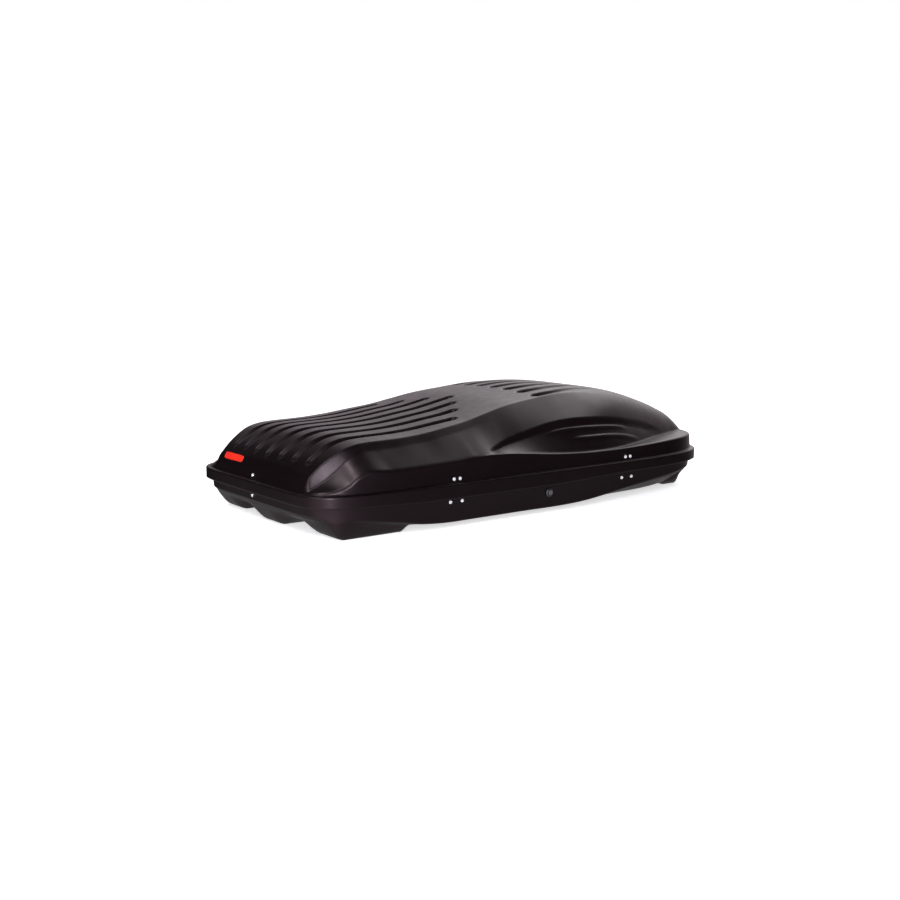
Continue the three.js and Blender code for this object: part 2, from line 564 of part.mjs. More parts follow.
for (const [place, x] of Object.entries(STAY.stations)) {
  const web = [x - 8, x - 4];
  const eye = [x - 2.2, x + 2.2];
  const pin = ([y, z]) => cylinder('x', [x - 5, x + 6], [y, z], PIN.radius, 12);
  const floorZ = up(-FLOOR_DEPTH + WALL) + 0.8;
  addPart(`stay_base_bracket_${place}`, join(
    box([x - 16, x + 12], [stayFoot[0] - 18, stayFoot[0] + 14], [floorZ, floorZ + 3]),
    plateAcrossX(polygon([[stayFoot[0] - 16, floorZ + 1], [stayFoot[0] + 12, floorZ + 1],
      [stayFoot[0] + 7, stayFoot[1] + 7], [stayFoot[0] - 7, stayFoot[1] + 7]]), web),
    pin(stayFoot)), zincSteel);
  addPart(`stay_tube_${place}`, cut(join(
    turnedAlongStay([[0, TUBE.start], [TUBE.outer, TUBE.start], [TUBE.outer, TUBE.end],
      [TUBE.inner, TUBE.end], [TUBE.inner, TUBE.bore], [0, TUBE.bore]], x),
    plateAcrossX(roundedBar(stayFoot, alongStay(TUBE.start + 4), 8), eye)),
  cylinder('x', [x - 12, x + 12], stayFoot, PIN.radius + PIN.clearance, 12)), blackSteel);
  addPart(`stay_rod_${place}`, cut(join(
    turnedAlongStay([[0, TUBE.bore + 4], [4, TUBE.bore + 4], [4, stayLength - 10], [0, stayLength - 10]], x),
    plateAcrossX(roundedBar(alongStay(stayLength - 14), alongStay(stayLength + SLOT_RUN), 8), eye)),
  plateAcrossX(roundedBar(alongStay(stayLength), alongStay(stayLength + SLOT_RUN),
    PIN.radius + PIN.clearance), [x - 6, x + 6])), steel);
  const ceiling = (y) => up(lidHeight(x, y)) - WALL - 4;
  const [near, far] = [stayHead[0] - 24, stayHead[0] + 21];
  addPart(`stay_lid_bracket_${place}`, join(
    plateAcrossX(polygon([[near, ceiling(near) - 3], [far, ceiling(far) - 3], [far, ceiling(far)],
      [near, ceiling(near)]]), [x - 18, x + 6]),
    plateAcrossX(polygon([[stayHead[0] - 7, stayHead[1] - 6], [stayHead[0] + 7, stayHead[1] - 6],
      [stayHead[0] + 16, ceiling(stayHead[0] + 16) - 1.5],
      [stayHead[0] - 16, ceiling(stayHead[0] - 16) - 1.5]]), web),
    pin(stayHead)), zincSteel);
}

// ---- Floor rails and load straps ----
const floorTop = up(-FLOOR_DEPTH + WALL) + 0.4;
const RAIL = { start: -430, end: 470, half: 22, height: 14, gauge: 2 };
for (const [side, y] of [['lock_side', -RAIL_Y], ['hinge_side', RAIL_Y]]) {
  addPart(`floor_rail_${side}`, cut(
    box([RAIL.start, RAIL.end], [y - RAIL.half, y + RAIL.half], [floorTop, floorTop + RAIL.height]),
    box([RAIL.start - 1, RAIL.end + 1], [y - RAIL.half + RAIL.gauge, y + RAIL.half - RAIL.gauge],
      [floorTop - 1, floorTop + RAIL.height - RAIL.gauge]),
    ...floorSlots), zincSteel);
}

const STRAP = { width: 25, thickness: 1.6, end: 300, flat: 235 };
const railTop = floorTop + RAIL.height + 0.4;
STRAP_X.forEach((x, index) => {
  const place = ['front', 'rear'][index];
  const line = [[-STRAP.end, floorTop + 3.4], [-STRAP.flat, railTop], [STRAP.flat, railTop],
    [STRAP.end, floorTop + 3.4]];
  const back = [...line].reverse().map(([y, z]) => [y, z + STRAP.thickness]);
  addPart(`load_strap_${place}`, plateAcrossX(polygon([...line, ...back]),
    [x - STRAP.width / 2, x + STRAP.width / 2]), webbing);
  const top = railTop + STRAP.thickness + 0.4;
  addPart(`strap_buckle_${place}`, cut(
    box([x - 19, x + 19], [-26, 26], [top, top + 9]),
    box([x - STRAP.width / 2 - 1, x + STRAP.width / 2 + 1], [-19, -9], [top - 1, top + 10]),
    box([x - STRAP.width / 2 - 1, x + STRAP.width / 2 + 1], [9, 19], [top - 1, top + 10])), innerPlastic);
  for (const side of [-1, 1]) {
    const y = side * (STRAP.end - 8);
    addPart(`strap_anchor_${place}_${side < 0 ? 'lock_side' : 'hinge_side'}`,
      box([x - 18, x + 18], [y - 12, y + 12], [floorTop, floorTop + 2.4]), zincSteel);
  }
});

// ---- Nose badge: a plain red reflector on the sloping nose ----
const BADGE = { y: 190, x: -856, length: 130, width: 24, thickness: 2, lift: 2.2 };
const badgeSlope = Math.atan((lidHeight(BADGE.x + 8, BADGE.y) - lidHeight(BADGE.x - 8, BADGE.y)) / 16);
const badge = new THREE.BoxGeometry(BADGE.width, BADGE.length, BADGE.thickness);
badge.translate(0, 0, BADGE.lift).rotateY(-badgeSlope);
badge.translate(BADGE.x, BADGE.y, up(lidHeight(BADGE.x, BADGE.y)));
addPart('nose_badge', badge, redPlastic);

export default model;
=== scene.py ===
"""Looks of the roof cargo box: fine moulded shells, finished fittings, webbing straps, studio and camera."""
import json
import math

import bmesh
import bpy
import numpy as np
from mathutils import Matrix, Vector

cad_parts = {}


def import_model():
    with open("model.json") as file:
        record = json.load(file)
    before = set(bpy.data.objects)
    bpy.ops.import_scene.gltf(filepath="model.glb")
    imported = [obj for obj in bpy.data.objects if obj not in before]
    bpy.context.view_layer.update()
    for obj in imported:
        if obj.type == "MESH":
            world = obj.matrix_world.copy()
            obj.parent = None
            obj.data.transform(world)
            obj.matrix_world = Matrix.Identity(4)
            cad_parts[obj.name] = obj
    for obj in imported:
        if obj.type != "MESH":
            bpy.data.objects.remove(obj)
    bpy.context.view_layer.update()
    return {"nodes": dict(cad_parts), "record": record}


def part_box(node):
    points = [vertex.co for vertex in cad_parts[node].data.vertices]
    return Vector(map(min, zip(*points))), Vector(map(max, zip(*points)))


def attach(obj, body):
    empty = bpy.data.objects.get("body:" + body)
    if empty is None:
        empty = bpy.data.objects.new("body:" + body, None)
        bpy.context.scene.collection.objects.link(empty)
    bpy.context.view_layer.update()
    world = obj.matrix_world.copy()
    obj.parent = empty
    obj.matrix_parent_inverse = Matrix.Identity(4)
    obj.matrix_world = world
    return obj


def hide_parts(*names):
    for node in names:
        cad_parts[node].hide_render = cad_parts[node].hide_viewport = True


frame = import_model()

# ---- Shell surfaces: heights are measured from the lid's rim ledge ----
LENGTH, WIDTH = 1.8, 0.909
NOSE_POWER, TAIL_POWER = 8.2, 4.9   # how square the plan outline is at each end
LEDGE_Z = 0.150
BELT_INSET, BASE_INSET, FLANGE_INSET = 0.014, 0.018, 0.008
SKIRT_DEPTH, SKIRT_DIP = 0.038, 0.010
FLANGE_DROP, FLOOR_DEPTH, WALL = 0.008, 0.130, 0.004


def ease(start, end, value):
    """A smooth step, from 0 at start to 1 at end."""
    share = np.clip((value - start) / (end - start), 0, 1)
    return share * share * (3 - 2 * share)


def mix(a, b, share):
    return a + (b - a) * share


def curve_through(*points):
    """A smooth curve through given (x, z) points, level beyond its ends."""
    xs, zs = (np.array(column, float) for column in zip(*points))
    slopes = np.gradient(zs, xs)

    def value(x):
        x = np.clip(x, xs[0], xs[-1])
        i = np.clip(np.searchsorted(xs, x, side="right") - 1, 0, len(xs) - 2)
        span = xs[i + 1] - xs[i]
        t = (x - xs[i]) / span
        return (zs[i] * (1 + 2 * t) * (1 - t) ** 2 + zs[i + 1] * t * t * (3 - 2 * t)
                + span * (slopes[i] * t * (1 - t) ** 2 - slopes[i + 1] * t * t * (1 - t)))
    return value


crown_line = curve_through(
    (-.886, .001), (-.880, .008), (-.870, .028), (-.855, .057), (-.838, .075), (-.815, .096),
    (-.776, .122), (-.736, .143), (-.696, .154), (-.640, .159), (-.600, .160), (-.500, .163),
    (-.4375, .1675), (-.315, .1825), (-.231, .194), (-.144, .211), (-.056, .228), (.073, .243),
    (.193, .254), (.300, .255), (.420, .246), (.560, .222), (.694, .184), (.800, .145),
    (.845, .122), (.866, .100), (.880, .070))
hood_edge = curve_through((-.886, .302), (-.830, .310), (-.760, .326), (-.660, .330), (-.350, .322),
                          (-.150, .295), (0, .275), (.200, .262))
chamfer_foot = curve_through(
    (-.886, .001), (-.869, .007), (-.825, .030), (-.770, .071), (-.742, .095), (-.695, .1155),
    (-.630, .1205), (-.580, .1220), (-.512, .1256), (-.443, .1296), (-.387, .1376), (-.337, .1436),
    (-.200, .155), (0, .175))
# The outer edge of the side face: the top of the belt wall in front, the pocket's arc behind.
arc_line = curve_through(
    (-.300, .434), (-.250, .428), (-.200, .404), (-.140, .385), (-.030, .375), (.085, .370),
    (.217, .372), (.320, .365), (.460, .345), (.600, .315), (.720, .290), (.880, .240))
arc_height = curve_through(
    (-.886, .001), (-.800, .002), (-.775, .014), (-.745, .040), (-.710, .059), (-.617, .064),
    (-.481, .069), (-.320, .077), (-.250, .083), (-.200, .096), (-.140, .111), (-.030, .135),
    (.085, .155), (.217, .163), (.317, .158), (.458, .141), (.591, .104), (.681, .075), (.880, .056))
shelf_line = curve_through(
    (-.886, .001), (-.800, .002), (-.775, .014), (-.745, .040), (-.710, .059), (-.617, .064),
    (-.481, .069), (-.320, .077), (-.240, .080), (-.160, .077), (-.060, .068), (.060, .056),
    (.200, .048), (.330, .046), (.460, .048), (.660, .053), (.880, .056))
dome_half = curve_through(
    (.100, .430), (.230, .428), (.330, .418), (.430, .397), (.530, .366), (.640, .328),
    (.780, .280), (.870, .245), (.885, .235))
underside_edge = curve_through(
    (-.880, -.072), (-.800, -.078), (-.710, -.090), (-.600, -.106), (-.500, -.123), (-.400, -.130),
    (-.320, -.130), (-.130, -.130), (.200, -.126), (.410, -.101), (.650, -.080), (.880, -.066))

HOOD_CROWN, CHAMFER_RUN, DOME_POWER = 0.0133, 0.022, 5.2
POCKET_STEP, POCKET_LIMIT = 0.016, 0.4375   # how deep the pocket is cut, and how far out it may reach
FRONT_GROOVE, REAR_GROOVE, RIB = 0.0115, 0.0130, 0.0065   # the grooves' depths and the ribs' height
# Each pair of grooves: its distance from the middle, and where the front one ends.
GROOVES = ((0, -.06), (.083, -.11), (.165, -.164), (.248, -.228))
ROUNDING = (-.002, -.001, 0, .001, .002)    # shifts that the height is averaged over, to round creases


def pocket_foot(x):
    """Where the pocket's wall meets the shelf."""
    return np.maximum(arc_line(x) + .002, np.minimum(dome_half(x), POCKET_LIMIT))


def faceted_height(x, across):
    """The front's section: crowned hood, chamfer, side face, and the pocket's wall below the arc."""
    edge_y, arc_y, foot_y = hood_edge(x), arc_line(x), pocket_foot(x)
    edge, foot = crown_line(x) - HOOD_CROWN, shelf_line(x)
    arc_z = arc_height(x)
    level_share = CHAMFER_RUN / (arc_y - edge_y)
    chamfer = mix(chamfer_foot(x), mix(edge, arc_z, level_share), ease(-.36, -.14, x))
    height = crown_line(x) - HOOD_CROWN * np.minimum(1, across / edge_y) ** 2
    corners = ((edge_y, edge), (edge_y + CHAMFER_RUN, chamfer), (arc_y, arc_z), (foot_y, foot))
    for (y0, z0), (y1, z1) in zip(corners, corners[1:]):
        height = height + (z1 - z0) * np.clip((across - y0) / (y1 - y0), 0, 1)
    return height


def domed_height(x, across):
    """The rear's section: one round dome that rises from the shelf."""
    shelf = shelf_line(x)
    share = np.minimum(1, across / dome_half(x))
    return shelf + np.maximum(0, crown_line(x) - shelf) * (1 - share ** DOME_POWER)


def smooth_height(x, y):
    """The lid's outer surface without its grooves and beads."""
    arc_y, foot_y = arc_line(x), pocket_foot(x)
    pocket = POCKET_STEP * ease(-.235, -.185, x) * (1 - ease(.58, .72, x))
    dome_share = ease(.12, .48, x)
    height = 0
    for shift in ROUNDING:
        across = np.abs(np.abs(y) + shift)
        surface = mix(faceted_height(x, across), domed_height(x, across), dome_share)
        sunk = ease(0, .005, across - arc_y) * (1 - np.clip((across - arc_y) / (foot_y - arc_y), 0, 1))
        height = height + (surface - pocket * sunk) / len(ROUNDING)
    return height


def groove(x, y, middle, half, start, start_run, end, end_run, side=.5):
    """The share of its depth that a straight groove or bead reaches: side is how much of it is wall."""
    taper = ease(start, start + start_run, x) * (1 - ease(end - end_run, end, x))
    width = half * np.clip(taper * 1.6, .45, 1)
    return ease(0, side, 1 - np.abs(y - middle) / width) * taper


def lid_height(x, y):
    """The lid's outer surface, with its grooves in front and behind and the ribs in its pockets."""
    height = smooth_height(x, y)
    pinch = 1 - .22 * ease(.15, .55, x)   # draws the rear grooves together toward the tail
    for order, (pitch, front_end) in enumerate(GROOVES):
        for side in ((1, -1) if pitch else (1,)):
            height = height - FRONT_GROOVE * groove(
                x, y, side * pitch, .0185, -.844 + .0037 * order, .030, front_end, .030)
            height = height - REAR_GROOVE * groove(
                x, y, side * pitch * .96 * pinch, .024, .090, .048, .560, .440)
    for side in (-1, 1):
        for lift, start, end in ((.013, .03, .50), (.032, .12, .56)):
            height = height + RIB * groove(
                x, side * y, arc_line(x) + lift, .0055, start, .10, end, .10, 1)
    return height


# Each foot: its middle and half width across the box, its flank, and its flat's start and end.
FEET = ((0, .045, .085, -.795, -.560), (-.315, .055, .050, -.765, -.560), (.315, .055, .050, -.775, -.560),
        (-.220, .055, .035, .750, .810), (.220, .055, .035, .750, .810))


def underside_height(x, y, depth):
    """The base's outer surface, by its place and its depth inside the outline."""
    lift = (FLOOR_DEPTH + underside_edge(x)) * (1 - ease(.010, .090, depth))
    floor = -FLOOR_DEPTH + lift + .030 * (1 - ease(-.880, -.700, x)) * ease(.020, .090, depth)
    share = 0
    for middle, half, flank, start, end in FEET:
        lead, trail = (.085, .022) if end < 0 else (.030, .035)
        along = ease(start - lead, start, x) * (1 - ease(end, end + trail, x))
        share = np.maximum(share, along * (1 - ease(half, half + flank, np.abs(y - middle))))
    return mix(floor, -LEDGE_Z, share)


def skirt_height(x, y):
    dip = ease(-.800, -.420, x) * (1 - ease(0, .420, x)) * ease(.6, .9, -y / (WIDTH / 2))
    return -SKIRT_DEPTH - SKIRT_DIP * dip


# ---- Shell meshes ----
CELLS_LONG, CELLS_WIDE = 380, 300
AROUND = 2 * (CELLS_LONG + CELLS_WIDE)   # points in each ring


def plan_point(s, t, inset):
    """The plan outline moved in by an inset: s runs from nose to tail and t across, from -1 to 1."""
    power = np.where(s < 0, NOSE_POWER, TAIL_POWER)
    norm = (np.abs(s) ** power + np.abs(t) ** power) ** (1 / power)
    scale = np.maximum(np.abs(s), np.abs(t)) / np.maximum(norm, 1e-9)
    return s * scale * (LENGTH / 2 - inset), t * scale * (WIDTH / 2 - inset)


def border_cells():
    """The grid places (i, j) around the edge of the field, in order."""
    along, across = np.arange(CELLS_LONG), np.arange(CELLS_WIDE)
    no_i, all_i = np.zeros(CELLS_WIDE, int), np.full(CELLS_WIDE, CELLS_LONG)
    no_j, all_j = np.zeros(CELLS_LONG, int), np.full(CELLS_LONG, CELLS_WIDE)
    i = np.concatenate([along, all_i, CELLS_LONG - along, no_i])
    j = np.concatenate([no_j, across, all_j, CELLS_WIDE - across])
    return i, j


def to_square(i, j):
    return 2 * i / CELLS_LONG - 1, 2 * j / CELLS_WIDE - 1


def arc(inset, height, radius, start, end, steps):
    """Section points of a round corner, as (inset, height) pairs."""
    turns = np.radians(np.linspace(start, end, steps))
    return [(inset + radius * math.cos(a), height + radius * math.sin(a)) for a in turns]


def vertex_normals(points, quads):
    diagonal_a = points[quads[:, 2]] - points[quads[:, 0]]
    diagonal_b = points[quads[:, 3]] - points[quads[:, 1]]
    face_normals = np.cross(diagonal_a, diagonal_b)
    normals = np.zeros_like(points)
    for corner in range(4):
        np.add.at(normals, quads[:, corner], face_normals)
    return normals / np.maximum(np.linalg.norm(normals, axis=1, keepdims=True), 1e-12)


def open_cells(x, y, slots):
    """Which cells of the field lie in a slot, judged by the cells' middles."""
    middle_x, middle_y = (x[1:, 1:] + x[:-1, :-1]) / 2, (y[1:, 1:] + y[:-1, :-1]) / 2
    is_open = np.zeros(middle_x.shape, bool)
    for slot_x, slot_y, half_long, half_wide in slots:
        is_open |= (np.abs(middle_x - slot_x) < half_long) & (np.abs(middle_y - slot_y) < half_wide)
    return is_open


def slot_edges(cells, is_open):
    """The pairs of points that bound the slots."""
    pairs = []
    for i, j in zip(*np.nonzero(is_open)):
        for edge, (step_i, step_j) in enumerate(((0, -1), (1, 0), (0, 1), (-1, 0))):
            if not is_open[i + step_i, j + step_j]:
                pairs.append((cells[i, j, edge], cells[i, j, (edge + 1) % 4]))
    return np.array(pairs, int).reshape(-1, 2)


def outer_skin(rings, grid_inset, height, slots):
    """Points and faces of rings around the outline and of a grid over the field, and the slots' edges.
    A ring is (inset, height at a place, lift above it)."""
    border_i, border_j = border_cells()
    s, t = to_square(border_i, border_j)
    points = []
    for inset, base, lift in rings:
        x, y = plan_point(s, t, inset)
        points.append(np.stack([x, y, LEDGE_Z + base(x, y) + lift + 0 * x], -1))
    grid_i, grid_j = np.meshgrid(np.arange(CELLS_LONG + 1), np.arange(CELLS_WIDE + 1), indexing="ij")
    s, t = to_square(grid_i, grid_j)
    x, y = plan_point(s, t, grid_inset)
    depth = grid_inset + np.minimum((1 - np.abs(t)) * WIDTH / 2, (1 - np.abs(s)) * LENGTH / 2)
    points.append(np.stack([x, y, LEDGE_Z + height(x, y, depth)], -1).reshape(-1, 3))

    grid_index = len(rings) * AROUND + grid_i * (CELLS_WIDE + 1) + grid_j
    loops = [np.arange(AROUND) + ring * AROUND for ring in range(len(rings))]
    loops.append(grid_index[border_i, border_j])
    quads = [np.stack([a, np.roll(a, -1), np.roll(b, -1), b], -1) for a, b in zip(loops, loops[1:])]
    cells = np.stack([grid_index[:-1, :-1], grid_index[1:, :-1],
                      grid_index[1:, 1:], grid_index[:-1, 1:]], -1)
    is_open = open_cells(x, y, slots)
    quads.append(cells[~is_open])
    return np.concatenate(points), np.concatenate(quads), slot_edges(cells, is_open)


def sheet_object(name, rings, grid_inset, height, thickness, rim_round, facing_up, slots=()):
    """A moulded sheet: an outer and an inner skin, joined by a rounded rim and by the slots' walls."""
    points, quads, slot_pairs = outer_skin(rings, grid_inset, height, slots)
    turn = 1 if facing_up else -1   # which way round each face's corners go
    quads = quads[:, ::turn]
    inner = points - vertex_normals(points, quads) * thickness
    rim = (points[:AROUND] + inner[:AROUND]) / 2
    rim = rim + (points[:AROUND] - points[AROUND:2 * AROUND]) * rim_round

    inner_start, rim_start = len(points), 2 * len(points)
    faces = [quads, quads[:, ::-1] + inner_start]
    ring = np.arange(AROUND)
    following = np.roll(ring, -1)
    for a, b in ((0, rim_start), (rim_start, inner_start)):
        faces.append(np.stack([ring + a, ring + b, following + b, following + a], -1)[:, ::turn])
    a, b = slot_pairs.T
    faces.append(np.stack([a, b, b + inner_start, a + inner_start], -1)[:, ::turn])
    mesh = bpy.data.meshes.new(name)
    mesh.from_pydata(np.concatenate([points, inner, rim]).tolist(), [], np.concatenate(faces).tolist())
    return finished_object(name, mesh)


def finished_object(name, mesh, sharp=None):
    """A smoothly shaded object, with creases only where its faces meet at more than sharp degrees."""
    mesh.validate()
    mesh.shade_smooth()
    if sharp is not None:
        mesh.set_sharp_from_angle(angle=math.radians(sharp))
    piece = bpy.data.objects.new(name, mesh)
    bpy.context.scene.collection.objects.link(piece)
    return piece


# ---- Materials ----
class Finish:
    """A procedural material: constant values on the shader, grain and variation from object-space nodes."""

    def __init__(self, name, **shader):
        self.material = bpy.data.materials.new(name)
        self.material.use_nodes = True
        self.nodes = self.material.node_tree.nodes
        self.links = self.material.node_tree.links
        self.shader = self.nodes["Principled BSDF"]
        self.place = self.nodes.new("ShaderNodeTexCoord").outputs["Object"]
        self.normal = None
        for socket, value in shader.items():
            self.shader.inputs[socket.replace("_", " ")].default_value = value

    def noise(self, scale, detail=2, roughness=.5, stretch=(1, 1, 1)):
        node = self.nodes.new("ShaderNodeTexNoise")
        node.inputs["Scale"].default_value = scale
        node.inputs["Detail"].default_value = detail
        node.inputs["Roughness"].default_value = roughness
        mapping = self.nodes.new("ShaderNodeMapping")
        mapping.inputs["Scale"].default_value = stretch
        self.links.new(self.place, mapping.inputs["Vector"])
        self.links.new(mapping.outputs["Vector"], node.inputs["Vector"])
        return node.outputs["Fac"]

    def waves(self, scale, direction):
        node = self.nodes.new("ShaderNodeTexWave")
        node.bands_direction = direction
        node.inputs["Scale"].default_value = scale
        self.links.new(self.place, node.inputs["Vector"])
        return node.outputs["Fac"]

    def cells(self, scale):
        node = self.nodes.new("ShaderNodeTexVoronoi")
        node.inputs["Scale"].default_value = scale
        self.links.new(self.place, node.inputs["Vector"])
        return node.outputs["Distance"]

    def combine(self, operation, a, b):
        node = self.nodes.new("ShaderNodeMath")
        node.operation = operation
        for socket, value in zip(node.inputs, (a, b)):
            if isinstance(value, (int, float)):
                socket.default_value = value
            else:
                self.links.new(value, socket)
        return node.outputs["Value"]

    def spread(self, source, socket, low, high, start=.35, end=.65):
        node = self.nodes.new("ShaderNodeMapRange")
        for name, value in (("From Min", start), ("From Max", end), ("To Min", low), ("To Max", high)):
            node.inputs[name].default_value = value
        self.links.new(source, node.inputs["Value"])
        self.links.new(node.outputs["Result"], self.shader.inputs[socket])

    def tint(self, source, low, high, start=.35, end=.65):
        node = self.nodes.new("ShaderNodeValToRGB")
        node.color_ramp.elements[0].position, node.color_ramp.elements[1].position = start, end
        node.color_ramp.elements[0].color = (*low, 1)
        node.color_ramp.elements[1].color = (*high, 1)
        self.links.new(source, node.inputs["Fac"])
        self.links.new(node.outputs["Color"], self.shader.inputs["Base Color"])

    def bump(self, source, strength, distance):
        node = self.nodes.new("ShaderNodeBump")
        node.inputs["Strength"].default_value = strength
        node.inputs["Distance"].default_value = distance
        self.links.new(source, node.inputs["Height"])
        if self.normal is not None:
            self.links.new(self.normal, node.inputs["Normal"])
        self.normal = node.outputs["Normal"]
        self.links.new(self.normal, self.shader.inputs["Normal"])


def shell_plastic():
    finish = Finish("shell_plastic", Specular_IOR_Level=.29, Specular_Tint=(1, .80, .88, 1))
    finish.tint(finish.noise(2.2, 3), (.0014, .0005, .0008), (.0022, .0009, .0013))
    finish.spread(finish.noise(34, 4), "Roughness", .33, .38)
    finish.bump(finish.noise(640, 3, .6), .10, .0006)
    finish.bump(finish.noise(9, 2), .02, .004)
    return finish.material


def inner_plastic():
    finish = Finish("inner_plastic", Specular_IOR_Level=.35)
    finish.tint(finish.noise(30, 3), (.010, .010, .011), (.018, .018, .020))
    finish.spread(finish.noise(90, 3), "Roughness", .42, .58)
    finish.bump(finish.noise(900, 2), .12, .0005)
    return finish.material


def red_plastic():
    finish = Finish("red_plastic", Specular_IOR_Level=.45, Coat_Weight=.35, Coat_Roughness=.08)
    finish.tint(finish.cells(420), (.72, .030, .012), (.52, .012, .006), 0, .9)
    finish.spread(finish.noise(300, 2), "Roughness", .22, .34)
    finish.bump(finish.cells(420), .35, .0008)
    return finish.material


def metal(name, low, high, roughness, grain_stretch=(1, 1, 1), metallic=1.0):
    finish = Finish(name, Metallic=metallic, Specular_IOR_Level=.5)
    grain = finish.noise(220, 4, .6, grain_stretch)
    finish.tint(grain, low, high)
    finish.spread(finish.noise(60, 4), "Roughness", *roughness)
    finish.bump(grain, .08, .0004)
    return finish.material


def webbing():
    finish = Finish("webbing", Specular_IOR_Level=.25, Sheen_Weight=.15, Sheen_Roughness=.4)
    weave = finish.combine("MULTIPLY", finish.waves(520, "X"), finish.waves(760, "Y"))
    finish.tint(weave, (.007, .007, .008), (.030, .030, .033), 0, 1)
    finish.spread(finish.noise(120, 3), "Roughness", .72, .90)
    finish.bump(weave, .5, .0005)
    return finish.material


MATERIALS = {
    "shell_plastic": shell_plastic(),
    "inner_plastic": inner_plastic(),
    "red_plastic": red_plastic(),
    "bright_steel": metal("bright_steel", (.66, .66, .68), (.82, .82, .83), (.22, .34), metallic=.55),
    "zinc_steel": metal("zinc_steel", (.42, .43, .46), (.60, .60, .58), (.30, .48), (1, 9, 9)),
    "black_steel": metal("black_steel", (.010, .010, .011), (.022, .022, .024), (.30, .46), metallic=0),
    "webbing": webbing(),
}


# ---- Pieces ----
def dress(piece, slot, body, *nodes):
    """Gives a piece the material of its slot, puts it on the body it rides on, and hides the CAD nodes it
    stands for.
    """
    piece.data.materials.clear()
    piece.data.materials.append(MATERIALS[slot])
    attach(piece, body)
    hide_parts(*nodes)


def node_body(node):
    return next(body for body, nodes in frame["record"]["behaviour"]["bodies"].items() if node in nodes)


def level(value):
    return lambda x, y: value


def lid_shell():
    """The lid: skirt, rim ledge, belt wall and grooved top."""
    inset, radius = BELT_INSET + .003, .008   # the belt wall's top, and the radius of its edge
    rings = [(0, skirt_height, 0), (0, skirt_height, .004), (0, level(-.020), 0), (0, level(-.007), 0)]
    rings += [(step, level(height), 0) for step, height in arc(.005, -.005, .005, 180, 90, 6)]
    rings += [(.0105, level(0), 0)]
    rings += [(step, level(height), 0) for step, height in arc(.0105, .0045, .0045, -75, -10, 5)]
    for angle in np.radians(np.linspace(0, 75, 6)):
        def rounded(x, y, drop=1 - math.sin(angle)):
            field = lid_height(x, y)
            return field - np.minimum(radius, .8 * field) * drop
        rings.append((inset + radius * (1 - math.cos(angle)), rounded, 0))
    piece = sheet_object("lid_panel", rings, inset + radius + .002, lambda x, y, depth: lid_height(x, y),
                         .0036, .25, True)
    dress(piece, "shell_plastic", "lid", "lid_shell")


def base_shell():
    """The base: flange, wall, and an underside with its feet and clamp slots."""
    def wall_foot(x, y):
        return underside_height(x, y, BASE_INSET)

    radius = .007
    rings = [(FLANGE_INSET, level(-FLANGE_DROP - WALL), 0), (.0125, level(-FLANGE_DROP - WALL), 0)]
    rings += [(inset, level(height), 0) for inset, height in arc(.0145, -.0155, .0035, 90, 5, 5)]
    for angle in np.radians(np.linspace(0, 80, 7)):
        rings.append((BASE_INSET + .002 + radius * (1 - math.cos(angle)), wall_foot,
                      radius * (1 - math.sin(angle))))
    slots = [(x, y, .030, .004) for x in (-.35, .35) for y in (-.19, .19)]
    piece = sheet_object("base_tray", rings, BASE_INSET + radius + .004, underside_height,
                         WALL - .0003, .25, False, slots)
    dress(piece, "shell_plastic", "base", "base_shell")


CREASE = 35   # degrees: edges that turn more than this are rounded


def softened(node, slot, width):
    """The CAD node's own shape with its edges rounded."""
    mesh = frame["nodes"][node].data.copy()
    shape = bmesh.new()
    shape.from_mesh(mesh)
    bmesh.ops.remove_doubles(shape, verts=shape.verts, dist=1e-6)
    bmesh.ops.dissolve_limit(shape, angle_limit=math.radians(1), verts=shape.verts, edges=shape.edges)
    shape.to_mesh(mesh)
    shape.free()
    piece = finished_object(node + "_finished", mesh, CREASE)
    bevel = piece.modifiers.new("rounded", "BEVEL")
    bevel.width, bevel.segments, bevel.limit_method = width, 2, "ANGLE"
    bevel.angle_limit = math.radians(CREASE)
    bevel.harden_normals = True
    dress(piece, slot, node_body(node), node)


def lathe(name, sections, axis_at, axis, segments=36):
    """Rings of (radius, distance, star) around an axis: star is how far a ring waves in and out."""
    turns = np.linspace(0, 2 * math.pi, segments, endpoint=False)
    points, faces = [], []
    for radius, distance, star in sections:
        reach = radius * (1 + star * np.cos(6 * turns))
        points.append(np.stack([reach * np.cos(turns), reach * np.sin(turns), distance + 0 * turns], -1))
    points = np.concatenate(points)
    for ring in range(len(sections) - 1):
        for k in range(segments):
            a, b = ring * segments + k, ring * segments + (k + 1) % segments
            faces.append([a, b, b + segments, a + segments])
    faces.append(list(range(segments))[::-1])
    faces.append(list(range(len(points) - segments, len(points))))
    turn = Vector((0, 0, 1)).rotation_difference(Vector(axis)).to_matrix().to_4x4()
    mesh = bpy.data.meshes.new(name)
    mesh.from_pydata(points.tolist(), [], faces)
    mesh.transform(Matrix.Translation(axis_at) @ turn)
    return finished_object(name, mesh, 30)


NOSE_LEAN, NOSE_SCREW_TOP = math.radians(26), (-.8803, .017, .1653)
# The screw's rings, as lathe() takes them.
SHANK_RADIUS, HEAD_BACK = .0029, -.0034
SCREW_HEAD = ((.0059, -.0028, 0), (.0060, -.0020, 0), (.0054, -.0008, 0), (.0041, -.00015, 0), (.0031, 0, 0))
SCREW_RECESS = ((.0028, 0, .14), (.0026, -.0014, .14), (.0006, -.0016, 0))


